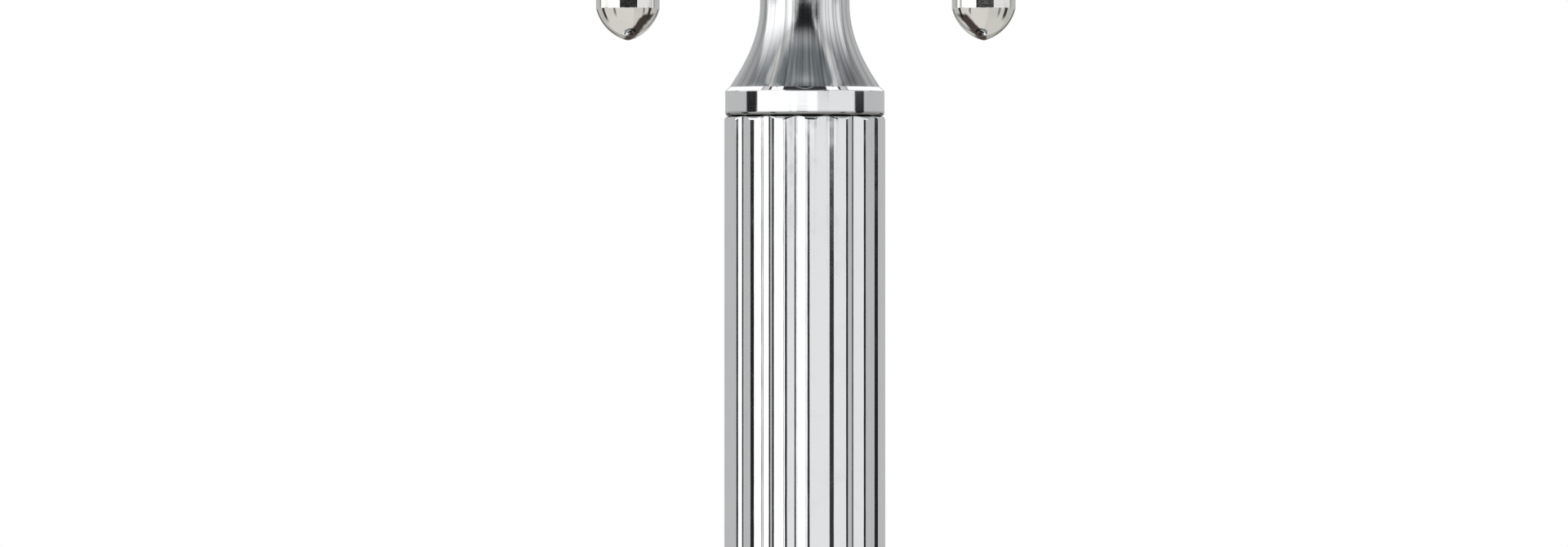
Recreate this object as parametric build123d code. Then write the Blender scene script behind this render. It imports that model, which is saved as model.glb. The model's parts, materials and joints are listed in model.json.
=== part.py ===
from build123d import *
import math
import os

# A free-standing razor stand of chromed brass, in millimetres.
# A weighted round base carries a fluted column. A polished ring and a flared neck cap the
# column, and a swivelling fork sits on the neck. The fork's two prongs reach forward (-Y)
# and end in acorn tips that point down, so that a safety razor hangs between them by its head.
# One long tie rod, with a nut under the base and the finial on top, clamps the whole column.
# Origin: the centre of the base, on the surface that it stands on. +Z is up.

# ---- driving dimensions -------------------------------------------------------------------

# base
BASE_DIAMETER = 76.0
RIM_HEIGHT = 5.2            # top of the upright rim above the surface
RIM_GAP = 0.8               # the rim stays this far above the surface
DOME_INSET = 2.8            # ledge between the rim and the dome
DOME_STEP = 0.9             # upright step at the foot of the dome
DOME_RISE = 5.9             # from the top of that step to the foot of the boss
DOME_BULGE = 1.5            # how far the dome crowns above a straight cone
BOSS_DIAMETER = 25.0
BOSS_HEIGHT = 1.8
SHELL_WALL = 1.2
PAD_THICKNESS = 2.0
RIM_ROUND = 0.9
EDGE_BREAK = 0.35           # small rounding of a turned edge

# column
COLUMN_DIAMETER = 12.15     # over the lands of the flutes
COLUMN_LENGTH = 77.0        # the fluted tube alone
COLUMN_WALL = 1.75
FLUTE_COUNT = 16
FLUTE_DEPTH = 0.245
FLUTE_LAND = 2.4            # degrees of plain land between two flutes
FLUTE_MEET = 3.6            # degrees from a flute's middle to where its hollow meets its shoulder
FLUTE_TURN = 16.0           # degrees right of the front, the middle of one flute
EDGE_ROUND = 0.28           # rounded end of the tube, and the lower edge of a ring
RING_HEIGHT = 2.2
RING_STEP = 0.075           # the rings' faces stand this far inside the lands
RING_CHAMFER = 0.3
FOOT_DIAMETER = 21.0
FOOT_LIP = 0.8
FOOT_HEIGHT = 10.0
NECK_BASE_DIAMETER = 11.35  # where the flare meets the ring
NECK_WAIST_DIAMETER = 6.75
NECK_FLARE_HEIGHT = 6.3     # from the ring to the waist
NECK_FLARE_ANGLE = 28.0     # degrees from upright, where the flare meets the ring
NECK_FLARE_PULL = 0.8       # how long the curve holds that angle
NECK_WAIST_PULL = 3.2       # how long the curve runs upright below the waist
NECK_WAIST_LENGTH = 1.4     # upright part of the waist
NECK_HEAD_DIAMETER = 9.4    # seat under the fork
NECK_HEIGHT = 10.5
NECK_LIP = 0.7

# tie rod and what it clamps
ROD_DIAMETER = 4.0
NUT_FLATS = 7.0
NUT_HEIGHT = 3.2
WASHER_DIAMETER = 9.0
WASHER_THICKNESS = 0.8
ROD_TAIL = 0.2              # the nut covers the rod's end by this much
BUSH_LENGTH = 8.0
BUSH_SPIGOT_DIAMETER = 6.0
BUSH_SPIGOT_REACH = 1.2     # how far a bush reaches past its ring

# fork
HUB_DIAMETER = 11.4
HUB_HEIGHT = 8.6
HUB_ROUND = 0.9
SOCKET_DIAMETER = 6.0
SOCKET_REACH = 7.7          # from the hub's axis to the socket's mouth
SOCKET_DEPTH = 3.4
PRONG_DIAMETER = 3.5
PRONG_SPACING = 25.7        # between the two tips' axes
PRONG_REACH = 33.0          # from the column's axis forward to the tips' axes
PRONG_SIDE_BEND = 5.0
PRONG_DOWN_BEND = 5.0
SLEEVE_WALL = 0.9
SWIVEL_WASHER_THICKNESS = 0.5
GRUB_DIAMETER = 2.0
GRUB_HEX = 0.9

# acorn tips
TIP_DIAMETER = 4.6
TIP_LENGTH = 7.5
TIP_OGIVE = 2.3             # length of the pointed end
TIP_LEAN = 14.0             # degrees that the pointed end leans in where it starts
TIP_NOSE = 0.36
TIP_COLLAR_DIAMETER = 5.2
TIP_COLLAR_HEIGHT = 0.8
PRONG_GRIP = 3.2            # length of prong inside a tip

# finial
FINIAL_SKIRT_DIAMETER = 9.4
FINIAL_SKIRT_HEIGHT = 1.5
FINIAL_WAIST_DIAMETER = 5.9
FINIAL_WAIST_HEIGHT = 1.9
FINIAL_BULB_DIAMETER = 8.4
FINIAL_BULB_HEIGHT = 8.6
FINIAL_NOSE = 0.6
ROD_GRIP = 6.0              # length of rod inside the finial

# clearances
SLIDE_FIT = 0.05            # radial, a turned piece in its bore
ROD_FIT = 0.2               # radial, the tie rod through everything that it clamps
LOOSE_FIT = 0.3             # radial, ballast and pad inside the shell

# ---- places worked out from them ------------------------------------------------------------

BASE_RADIUS = BASE_DIAMETER / 2
DOME_RADIUS = BASE_RADIUS - DOME_INSET
STEP_TOP = RIM_HEIGHT + DOME_STEP
DOME_TOP = STEP_TOP + DOME_RISE
BASE_TOP = DOME_TOP + BOSS_HEIGHT

FOOT_TOP = BASE_TOP + FOOT_HEIGHT
COLUMN_BOTTOM = FOOT_TOP + RING_HEIGHT
COLUMN_TOP = COLUMN_BOTTOM + COLUMN_LENGTH
NECK_BOTTOM = COLUMN_TOP + RING_HEIGHT
NECK_TOP = NECK_BOTTOM + NECK_HEIGHT
HUB_BOTTOM = NECK_TOP + SWIVEL_WASHER_THICKNESS
HUB_TOP = HUB_BOTTOM + HUB_HEIGHT
FINIAL_BOTTOM = HUB_TOP + SWIVEL_WASHER_THICKNESS
FINIAL_TOP = FINIAL_BOTTOM + FINIAL_SKIRT_HEIGHT + FINIAL_WAIST_HEIGHT + FINIAL_BULB_HEIGHT

COLUMN_RADIUS = COLUMN_DIAMETER / 2
COLUMN_BORE = COLUMN_RADIUS - COLUMN_WALL
RING_RADIUS = COLUMN_RADIUS - RING_STEP
ROD_RADIUS = ROD_DIAMETER / 2
ROD_HOLE_RADIUS = ROD_RADIUS + ROD_FIT
SLEEVE_BORE = ROD_RADIUS + SLIDE_FIT
SLEEVE_RADIUS = SLEEVE_BORE + SLEEVE_WALL
HUB_BORE = SLEEVE_RADIUS + SLIDE_FIT

PRONG_RADIUS = PRONG_DIAMETER / 2
PRONG_X = PRONG_SPACING / 2
PRONG_Z = (HUB_BOTTOM + HUB_TOP) / 2
SOCKET_FLOOR = SOCKET_REACH - SOCKET_DEPTH
TIP_TOP = PRONG_Z - PRONG_DOWN_BEND

WASHER_TOP = PAD_THICKNESS + NUT_HEIGHT + WASHER_THICKNESS
ROD_BOTTOM = PAD_THICKNESS + ROD_TAIL
ROD_TOP = FINIAL_BOTTOM + ROD_GRIP


# ---- helpers --------------------------------------------------------------------------------

def turned(*edges):
    """A solid turned about Z from an outline in (radius, height)."""
    return revolve(Plane.XZ * make_face(list(edges)), Axis.Z)


def post(radius, bottom, top):
    """A plain round bar along Z."""
    return extrude(Plane.XY.offset(bottom) * Circle(radius), top - bottom)


def tube(radius, bore, bottom, top):
    """A round tube along Z."""
    return extrude(Plane.XY.offset(bottom) * (Circle(radius) - Circle(bore)), top - bottom)


def ogive(radius, length, nose, base, point, lean=0.0):
    """Outline of a pointed end, from (radius, base) to the axis at height `point`.

    The side is an arc that starts off leaning in by `lean` degrees. It runs without a
    corner into a small arc of radius `nose` across the point.
    """
    way = math.copysign(1.0, point - base)
    start = math.radians(lean)
    nose_rise = length - nose
    side_radius = (radius ** 2 - nose ** 2 + nose_rise ** 2) / (
        2 * (radius * math.cos(start) - nose_rise * math.sin(start) - nose))
    inset = side_radius * math.cos(start) - radius
    sunk = side_radius * math.sin(start)
    meet = math.atan2(nose_rise + sunk, inset)

    def on_side(angle):
        return (side_radius * math.cos(angle) - inset, base + way * (side_radius * math.sin(angle) - sunk))

    def on_nose(angle):
        return (nose * math.cos(angle), base + way * (nose_rise + nose * math.sin(angle)))

    side = ThreePointArc((radius, base), on_side((start + meet) / 2), on_side(meet))
    cap = ThreePointArc(on_side(meet), on_nose((meet + math.pi / 2) / 2), (0, point))
    return side, cap


# ---- base -----------------------------------------------------------------------------------

def base_form(inset, bottom):
    """The turned shape of the base, taken in by `inset` all over, from `bottom` upwards."""
    rim = BASE_RADIUS - inset
    dome_foot = (DOME_RADIUS - inset, STEP_TOP - inset)
    dome_head = (BOSS_DIAMETER / 2 - inset, DOME_TOP - inset)
    lower = Polyline((0, bottom), (rim, bottom), (rim, RIM_HEIGHT - inset),
                     (DOME_RADIUS - inset, RIM_HEIGHT - inset), dome_foot)
    dome = SagittaArc(dome_foot, dome_head, -DOME_BULGE)
    upper = Polyline(dome_head, (BOSS_DIAMETER / 2 - inset, BASE_TOP - inset),
                     (0, BASE_TOP - inset), (0, bottom))
    return turned(*lower.edges(), dome, *upper.edges())


def edge_circle(solid, radius, height):
    """The circular edge of a turned solid at that radius and height."""
    return [e for e in solid.edges().filter_by(GeomType.CIRCLE)
            if abs(e.radius - radius) < 0.01 and abs(e.arc_center.Z - height) < 0.01]


def make_base_shell():
    outer = base_form(0, RIM_GAP)
    outer = fillet(edge_circle(outer, BASE_RADIUS, RIM_HEIGHT), RIM_ROUND)
    outer = fillet(edge_circle(outer, BASE_RADIUS, RIM_GAP), EDGE_BREAK)
    outer = fillet(edge_circle(outer, DOME_RADIUS, STEP_TOP), EDGE_BREAK)
    outer = fillet(edge_circle(outer, BOSS_DIAMETER / 2, BASE_TOP), EDGE_BREAK)
    inner = base_form(SHELL_WALL, RIM_GAP)
    return outer - inner - post(BUSH_SPIGOT_DIAMETER / 2 + SLIDE_FIT, 0, BASE_TOP)


def make_base_weight():
    ballast = base_form(SHELL_WALL + LOOSE_FIT, PAD_THICKNESS)
    seat = post(BOSS_DIAMETER / 2 - SHELL_WALL - LOOSE_FIT, PAD_THICKNESS, BASE_TOP - SHELL_WALL)
    recess = post(WASHER_DIAMETER / 2 + LOOSE_FIT, PAD_THICKNESS, WASHER_TOP)
    return ballast + seat - recess - post(ROD_HOLE_RADIUS, PAD_THICKNESS, BASE_TOP)


def make_base_pad():
    return post(BASE_RADIUS - SHELL_WALL - LOOSE_FIT, 0, PAD_THICKNESS)


# ---- column ---------------------------------------------------------------------------------

def make_column_foot():
    """Trumpet-shaped foot, with a spigot that centres it in the shell."""
    lip_top = (FOOT_DIAMETER / 2, BASE_TOP + FOOT_LIP)
    head = (NECK_BASE_DIAMETER / 2, FOOT_TOP)
    flare = TangentArc(head, lip_top, tangent=(0, -1))
    rest = Polyline(lip_top, (FOOT_DIAMETER / 2, BASE_TOP), (0, BASE_TOP), (0, FOOT_TOP), head)
    spigot = post(BUSH_SPIGOT_DIAMETER / 2, BASE_TOP - SHELL_WALL, BASE_TOP)
    socket = post(BUSH_SPIGOT_DIAMETER / 2 + SLIDE_FIT, FOOT_TOP - BUSH_SPIGOT_REACH - SLIDE_FIT, FOOT_TOP)
    rod_way = post(ROD_HOLE_RADIUS, 0, FOOT_TOP)
    return turned(flare, *rest.edges()) + spigot - socket - rod_way


def make_ring(bottom, chamfer_up):
    """Polished ring, chamfered on the side away from the fluted tube and rounded next to it."""
    bore = BUSH_SPIGOT_DIAMETER / 2 + SLIDE_FIT
    blank = tube(RING_RADIUS, bore, bottom, bottom + RING_HEIGHT)
    far = bottom + RING_HEIGHT if chamfer_up else bottom
    near = bottom if chamfer_up else bottom + RING_HEIGHT
    blank = chamfer(edge_circle(blank, RING_RADIUS, far), RING_CHAMFER)
    return fillet(edge_circle(blank, RING_RADIUS, near), EDGE_ROUND)


def flute_drop(from_middle):
    """Depth below the lands, by degrees from a flute's middle.

    The hollow and the shoulder are two parabolas that meet without a corner, and the
    shoulder runs without a corner into the land.
    """
    shoulder = 180 / FLUTE_COUNT - FLUTE_LAND / 2
    steepness = 2 * FLUTE_DEPTH / shoulder
    if from_middle <= FLUTE_MEET:
        return FLUTE_DEPTH - steepness * from_middle ** 2 / (2 * FLUTE_MEET)
    return steepness * (shoulder - from_middle) ** 2 / (2 * (shoulder - FLUTE_MEET))


def flute_section():
    """The fluted tube's cross-section: each flute is a hollow between two rounded shoulders."""
    pitch = 360 / FLUTE_COUNT
    shoulder = pitch / 2 - FLUTE_LAND / 2

    def on_section(middle, offset):
        drop = flute_drop(abs(offset)) if abs(offset) < shoulder else 0
        return Vector(0, drop - COLUMN_RADIUS).rotate(Axis.Z, middle + offset)

    edges = []
    for k in range(FLUTE_COUNT):
        middle = FLUTE_TURN + k * pitch
        stops = (-shoulder, -FLUTE_MEET, FLUTE_MEET, shoulder, pitch - shoulder)
        for start, end in zip(stops, stops[1:]):
            edges.append(ThreePointArc(*[on_section(middle, a) for a in (start, (start + end) / 2, end)]))
    return make_face(edges)


def make_fluted_column():
    fluted = extrude(Plane.XY.offset(COLUMN_BOTTOM) * flute_section(), COLUMN_LENGTH)
    rounded = fillet(post(COLUMN_RADIUS, COLUMN_BOTTOM, COLUMN_TOP).edges().filter_by(GeomType.CIRCLE),
                     EDGE_ROUND)
    return (fluted & rounded) - post(COLUMN_BORE, COLUMN_BOTTOM, COLUMN_TOP)


def make_bush(end, inward):
    """Brass plug in one end of the tube, with a spigot that reaches through the ring."""
    inside = sorted((end, end + inward * BUSH_LENGTH))
    outside = sorted((end, end - inward * (RING_HEIGHT + BUSH_SPIGOT_REACH)))
    plug = post(COLUMN_BORE - SLIDE_FIT, *inside)
    plug = chamfer(edge_circle(plug, COLUMN_BORE - SLIDE_FIT, end + inward * BUSH_LENGTH), EDGE_BREAK)
    spigot = post(BUSH_SPIGOT_DIAMETER / 2, *outside)
    return plug + spigot - post(ROD_HOLE_RADIUS, outside[0] - BUSH_LENGTH, inside[1] + BUSH_LENGTH)


def make_neck():
    """Flared neck: wide at the ring, drawn in to a slim waist, then out to the fork's seat."""
    base = (NECK_BASE_DIAMETER / 2, NECK_BOTTOM)
    waist = (NECK_WAIST_DIAMETER / 2, NECK_BOTTOM + NECK_FLARE_HEIGHT)
    waist_top = (waist[0], waist[1] + NECK_WAIST_LENGTH)
    lip = (NECK_HEAD_DIAMETER / 2, NECK_TOP - NECK_LIP)
    lean = math.radians(NECK_FLARE_ANGLE)
    above_base = (base[0] - NECK_FLARE_PULL * math.sin(lean), base[1] + NECK_FLARE_PULL * math.cos(lean))
    below_waist = (waist[0], waist[1] - NECK_WAIST_PULL)
    flare = Bezier(base, above_base, below_waist, waist)
    shank = Line(waist, waist_top)
    head = TangentArc(waist_top, lip, tangent=(0, 1))
    rest = Polyline(lip, (lip[0], NECK_TOP), (0, NECK_TOP), (0, NECK_BOTTOM), base)
    socket = post(BUSH_SPIGOT_DIAMETER / 2 + SLIDE_FIT, NECK_BOTTOM,
                  NECK_BOTTOM + BUSH_SPIGOT_REACH + SLIDE_FIT)
    return turned(flare, shank, head, *rest.edges()) - socket - post(ROD_HOLE_RADIUS, NECK_BOTTOM, NECK_TOP)


# ---- tie rod, nut and washers -----------------------------------------------------------------

def make_tie_rod():
    rod = post(ROD_RADIUS, ROD_BOTTOM, ROD_TOP)
    return chamfer(rod.edges().filter_by(GeomType.CIRCLE), ROD_DIAMETER / 10)


def make_tie_nut():
    blank = extrude(Plane.XY.offset(PAD_THICKNESS)
                    * RegularPolygon(NUT_FLATS / 2, 6, major_radius=False), NUT_HEIGHT)
    flat = NUT_FLATS / 2
    corner = flat / math.cos(math.pi / 6)
    top = PAD_THICKNESS + NUT_HEIGHT
    lead = (corner - flat) / 2
    outline = Polyline((0, PAD_THICKNESS), (flat, PAD_THICKNESS), (corner, PAD_THICKNESS + lead),
                       (corner, top), (0, top), close=True)
    return (blank & turned(*outline.edges())) - post(ROD_RADIUS, PAD_THICKNESS, top)


def make_tie_washer():
    return tube(WASHER_DIAMETER / 2, ROD_HOLE_RADIUS, WASHER_TOP - WASHER_THICKNESS, WASHER_TOP)


def make_swivel_washer(bottom):
    """Nylon washer beside the hub, round the pivot sleeve."""
    return tube(NECK_HEAD_DIAMETER / 2 - EDGE_BREAK, HUB_BORE, bottom, bottom + SWIVEL_WASHER_THICKNESS)


def make_pivot_sleeve():
    """The brass sleeve that the finial clamps, so that the fork stays free to turn on it."""
    return tube(SLEEVE_RADIUS, SLEEVE_BORE, NECK_TOP, FINIAL_BOTTOM)


# ---- fork -----------------------------------------------------------------------------------

def make_fork_hub():
    drum = post(HUB_DIAMETER / 2, HUB_BOTTOM, HUB_TOP)
    drum = fillet(drum.edges().filter_by(GeomType.CIRCLE), HUB_ROUND)
    across = Plane((0, 0, PRONG_Z), x_dir=(0, 1, 0), z_dir=(1, 0, 0))
    boss = extrude(across * Circle(SOCKET_DIAMETER / 2), SOCKET_REACH, both=True)
    boss = fillet(boss.edges().filter_by(GeomType.CIRCLE), EDGE_BREAK)
    hub = drum + boss - post(HUB_BORE, HUB_BOTTOM, HUB_TOP)
    for side in (-1, 1):
        floor = Plane((side * SOCKET_FLOOR, 0, PRONG_Z), z_dir=(side, 0, 0))
        hub -= extrude(floor * Circle(PRONG_RADIUS), SOCKET_DEPTH)
        hub -= grub_bar(side, GRUB_DIAMETER / 2, PRONG_RADIUS * 0.5, SOCKET_DIAMETER)
    return hub


def grub_bar(side, radius, start, end):
    """A bar along +Y through a socket's back wall, where its grub screw goes."""
    x = side * (SOCKET_FLOOR + SOCKET_REACH) / 2
    return extrude(Plane((x, start, PRONG_Z), z_dir=(0, 1, 0)) * Circle(radius), end - start)


def make_grub_screws():
    """Two cup-point screws that hold the prongs in the hub, one at the back of each socket."""
    screws = []
    back = SOCKET_DIAMETER / 2 - EDGE_BREAK
    for side in (-1, 1):
        screw = grub_bar(side, GRUB_DIAMETER / 2, PRONG_RADIUS, back)
        x = side * (SOCKET_FLOOR + SOCKET_REACH) / 2
        key = Plane((x, back - (back - PRONG_RADIUS) * 0.6, PRONG_Z), z_dir=(0, 1, 0))
        screws.append(screw - extrude(key * RegularPolygon(GRUB_HEX / 2, 6, major_radius=False), back))
    return Compound(screws)


def make_prong(side):
    """A bent rod: out of the hub's socket, forward, then down into its tip."""
    path = FilletPolyline((side * SOCKET_FLOOR, 0, PRONG_Z), (side * PRONG_X, 0, PRONG_Z),
                          (side * PRONG_X, -PRONG_REACH, PRONG_Z),
                          (side * PRONG_X, -PRONG_REACH, TIP_TOP - PRONG_GRIP),
                          radius=[PRONG_SIDE_BEND, PRONG_DOWN_BEND])
    start = Plane((side * SOCKET_FLOOR, 0, PRONG_Z), z_dir=(side, 0, 0))
    return sweep(start * Circle(PRONG_RADIUS), path=path)


def make_tip(side):
    """Acorn tip: a small collar, a straight body and a pointed end, bored for the prong."""
    radius = TIP_DIAMETER / 2
    point = TIP_TOP - TIP_LENGTH
    body_end = point + TIP_OGIVE
    collar_round = (TIP_COLLAR_DIAMETER - TIP_DIAMETER) * 0.4
    side_arc, nose = ogive(radius, TIP_OGIVE, TIP_NOSE, body_end, point, TIP_LEAN)
    collar = FilletPolyline((radius, body_end), (radius, TIP_TOP - TIP_COLLAR_HEIGHT),
                            (TIP_COLLAR_DIAMETER / 2, TIP_TOP - TIP_COLLAR_HEIGHT),
                            (TIP_COLLAR_DIAMETER / 2, TIP_TOP), (0, TIP_TOP), (0, point),
                            radius=[0, collar_round, collar_round, 0])
    acorn = turned(side_arc, nose, *collar.edges())
    acorn -= post(PRONG_RADIUS, TIP_TOP - PRONG_GRIP, TIP_TOP)
    return Pos(side * PRONG_X, -PRONG_REACH, 0) * acorn


# ---- finial ---------------------------------------------------------------------------------

def make_finial():
    """Acorn knob that screws on the tie rod and clamps the stack."""
    skirt = FINIAL_SKIRT_DIAMETER / 2
    waist = FINIAL_WAIST_DIAMETER / 2
    bulb = FINIAL_BULB_DIAMETER / 2
    skirt_top = FINIAL_BOTTOM + FINIAL_SKIRT_HEIGHT
    bulb_bottom = skirt_top + FINIAL_WAIST_HEIGHT
    bulb_shoulder = bulb_bottom + FINIAL_BULB_HEIGHT * 0.3
    stem = FilletPolyline((0, FINIAL_TOP), (0, FINIAL_BOTTOM), (skirt, FINIAL_BOTTOM), (skirt, skirt_top),
                          (waist, skirt_top), (waist, bulb_bottom), (bulb, bulb_bottom),
                          (bulb, bulb_shoulder),
                          radius=[0, 0, FINIAL_SKIRT_HEIGHT * 0.45, FINIAL_WAIST_HEIGHT * 0.4,
                                  FINIAL_WAIST_HEIGHT * 0.4, FINIAL_SKIRT_HEIGHT * 0.6])
    side_arc, nose = ogive(bulb, FINIAL_TOP - bulb_shoulder, FINIAL_NOSE, bulb_shoulder, FINIAL_TOP)
    knob = turned(*stem.edges(), side_arc, nose)
    return knob - post(ROD_RADIUS + SLIDE_FIT, FINIAL_BOTTOM, ROD_TOP + 2 * LOOSE_FIT)


# ---- write the parts --------------------------------------------------------------------------

parts = {
    "base_pad": make_base_pad(),
    "base_weight": make_base_weight(),
    "base_shell": make_base_shell(),
    "column_foot": make_column_foot(),
    "lower_ring": make_ring(FOOT_TOP, chamfer_up=False),
    "fluted_column": make_fluted_column(),
    "lower_bush": make_bush(COLUMN_BOTTOM, 1),
    "upper_bush": make_bush(COLUMN_TOP, -1),
    "upper_ring": make_ring(COLUMN_TOP, chamfer_up=True),
    "neck": make_neck(),
    "tie_rod": make_tie_rod(),
    "tie_nut": make_tie_nut(),
    "tie_washer": make_tie_washer(),
    "lower_swivel_washer": make_swivel_washer(NECK_TOP),
    "upper_swivel_washer": make_swivel_washer(HUB_TOP),
    "pivot_sleeve": make_pivot_sleeve(),
    "fork_hub": make_fork_hub(),
    "prong_grub_screws": make_grub_screws(),
    "left_prong": make_prong(-1),
    "right_prong": make_prong(1),
    "left_tip": make_tip(-1),
    "right_tip": make_tip(1),
    "finial": make_finial(),
}

os.makedirs("parts", exist_ok=True)
for name, solid in parts.items():
    export_step(solid, f"parts/{name}.step")
    print(name, "solids", len(solid.solids()), "volume", round(solid.volume, 1))
print("top of the finial", FINIAL_TOP, "prong height", PRONG_Z, "upper ring top", NECK_BOTTOM)
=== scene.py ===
# %% [markdown]
# # A chromed razor stand
# The real stand is turned brass, plated with chrome: a weighted base, a fluted column with a
# polished ring at each end, a flared neck and a swivelling fork with two acorn tips. The packed
# model gives every size and place. Blender's part is to make the surfaces good enough to be
# mirrors, because chrome shows every flat spot, and to give each finish its small flaws.

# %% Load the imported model
import json
import math

import bmesh
import bpy
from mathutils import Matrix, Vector


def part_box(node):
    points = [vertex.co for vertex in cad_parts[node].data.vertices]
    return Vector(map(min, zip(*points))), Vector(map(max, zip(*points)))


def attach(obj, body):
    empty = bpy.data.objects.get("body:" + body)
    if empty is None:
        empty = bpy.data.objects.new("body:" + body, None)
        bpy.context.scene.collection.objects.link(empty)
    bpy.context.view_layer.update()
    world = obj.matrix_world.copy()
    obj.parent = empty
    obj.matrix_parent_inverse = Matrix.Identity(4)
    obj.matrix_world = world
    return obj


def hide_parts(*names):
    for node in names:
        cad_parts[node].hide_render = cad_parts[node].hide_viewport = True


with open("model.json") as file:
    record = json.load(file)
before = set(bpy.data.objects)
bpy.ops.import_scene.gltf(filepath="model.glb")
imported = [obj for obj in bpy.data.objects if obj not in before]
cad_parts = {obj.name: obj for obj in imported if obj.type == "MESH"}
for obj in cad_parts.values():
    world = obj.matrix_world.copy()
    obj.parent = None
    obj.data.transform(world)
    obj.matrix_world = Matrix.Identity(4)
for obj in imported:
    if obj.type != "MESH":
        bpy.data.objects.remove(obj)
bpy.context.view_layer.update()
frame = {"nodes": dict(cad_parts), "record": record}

# %% [markdown]
# ## The camera and the colour of light
# The stand is seen from straight in front, level, through a long lens from about 0.8 m, with
# only the top of the column and the two tips in the frame. The camera is set first, so that
# every later choice can be judged through it. The plain "Standard" view keeps white white.

# %% Camera
MM = 0.001
RING_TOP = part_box("upper_ring")[1].z
CAMERA_DISTANCE = 790 * MM
CAMERA_BELOW_RING = 14.03 * MM
CAMERA_ASIDE = 1.57 * MM
VIEW_WIDTH = 118.15 * MM        # what the frame's width takes in, at the column
SENSOR_WIDTH = 36.0

camera_data = bpy.data.cameras.new("camera")
camera_data.sensor_width = SENSOR_WIDTH
camera_data.lens = SENSOR_WIDTH * CAMERA_DISTANCE / VIEW_WIDTH
camera_data.clip_start = 0.01
camera = bpy.data.objects.new("camera", camera_data)
camera.location = (-CAMERA_ASIDE, -CAMERA_DISTANCE, RING_TOP - CAMERA_BELOW_RING)
camera.rotation_euler = (math.radians(90), 0, 0)
bpy.context.scene.collection.objects.link(camera)
bpy.context.scene.camera = camera
bpy.context.scene.view_settings.view_transform = "Standard"
print("lens", round(camera_data.lens, 1), "mm")

# %% [markdown]
# ## Node helpers
# A material here is a small graph. Two helpers keep it readable: one adds a node with its
# settings, the other adds a maths step and wires its inputs.

# %% Node helpers
def add_node(tree, kind, **settings):
    """A new node of that kind, with its settings."""
    node = tree.nodes.new(kind)
    for name, value in settings.items():
        setattr(node, name, value)
    return node


def feed(tree, socket, value):
    """Wires an output into a socket, or sets the socket to a plain value."""
    if isinstance(value, bpy.types.NodeSocket):
        tree.links.new(value, socket)
    else:
        socket.default_value = value


def maths(tree, operation, *values, clamp=False):
    """One Math node. Each value is a number or another node's output."""
    node = add_node(tree, "ShaderNodeMath", operation=operation, use_clamp=clamp)
    for socket, value in zip(node.inputs, values):
        feed(tree, socket, value)
    return node.outputs[0]


def ramp(tree, value, stops):
    """A colour ramp over (place, grey or colour) stops."""
    node = add_node(tree, "ShaderNodeValToRGB")
    feed(tree, node.inputs["Fac"], value)
    elements = node.color_ramp.elements
    while len(elements) < len(stops):
        elements.new(1.0)
    for element, (place, colour) in zip(elements, stops):
        element.position = place
        element.color = (*colour, 1.0) if isinstance(colour, tuple) else (colour, colour, colour, 1.0)
    return node.outputs["Color"]


def smooth_step(tree, value, low, high):
    """0 below low, 1 above high, and a smooth rise between them."""
    node = add_node(tree, "ShaderNodeMapRange", interpolation_type="SMOOTHSTEP")
    for name, setting in (("Value", value), ("From Min", low), ("From Max", high)):
        feed(tree, node.inputs[name], setting)
    return node.outputs["Result"]


def blend_colours(tree, share, first, second, blend_type="MIX"):
    """Mixes two colours by a share."""
    node = add_node(tree, "ShaderNodeMix", data_type="RGBA", blend_type=blend_type)
    feed(tree, node.inputs["Factor"], share)
    for socket, value in ((node.inputs[6], first), (node.inputs[7], second)):
        feed(tree, socket, (*value, 1.0) if isinstance(value, tuple) else value)
    return node.outputs[2]


def mix_shaders(tree, share, first, second):
    """Mixes two shaders by a share."""
    node = add_node(tree, "ShaderNodeMixShader")
    feed(tree, node.inputs[0], share)
    tree.links.new(first.outputs[0], node.inputs[1])
    tree.links.new(second.outputs[0], node.inputs[2])
    return node


# %% [markdown]
# ## The studio
# Chrome has hardly any colour of its own: it shows the room. So the room is built as a light
# tent would be, as a function of direction. Level with the stand there is a bright wall in
# front, two narrow dark gaps beside it, and grey walls behind. Higher up the tent's pleated
# cloth hangs in bluish shade. Near the top and high behind there are white openings, and
# straight overhead it is dark. The dark opening in front, just above eye level, is where
# whoever works the camera stands, and below eye level a dark coat and one leg of the tripod
# stand before the wall. The camera itself sees plain white behind the stand.

# %% Light tent
WALL_WHITE = 1.16
OPEN_WHITE = (1.15, 1.15, 1.15)
WALL_PALE = 0.80
WALL_GREY = 0.50
CORNER_LEFT, CORNER_RIGHT = 0.36, 0.34
GAP_DARK = 0.016
COAT_DARK = 0.035
LEG_DARK = 0.07
OPENING_DARK = (0.012, 0.013, 0.014)
OVERHEAD_DARK = (0.040, 0.040, 0.042)
TENT_SHADE = (0.185, 0.206, 0.214)
SHADE_BEHIND = (0.130, 0.138, 0.142)
# (degrees from the front, positive to the right; brightness of the wall to the left of it)
WALL_EDGES = ((-94, WALL_GREY), (-73, GAP_DARK), (18, WALL_WHITE), (77, WALL_PALE), (95.5, GAP_DARK),
              (180, WALL_GREY))
LOW_WALL_EDGES = ((-92.0, WALL_GREY), (-75.5, GAP_DARK), (-22.4, WALL_WHITE), (-19.6, LEG_DARK),
                  (-11.8, WALL_WHITE), (3.8, COAT_DARK), (78.5, WALL_PALE), (96.0, GAP_DARK),
                  (180, WALL_GREY))
HIGH_WALL_EDGES = ((-122, WALL_GREY), (-112, CORNER_LEFT), (18, WALL_WHITE), (108, WALL_PALE),
                   (118, CORNER_RIGHT), (180, WALL_GREY))
EDGE_SOFTNESS = 0.7             # degrees
SHADE_TURNS = (90.0, 112.0)     # degrees to each side of the front, where the shade darkens
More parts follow.
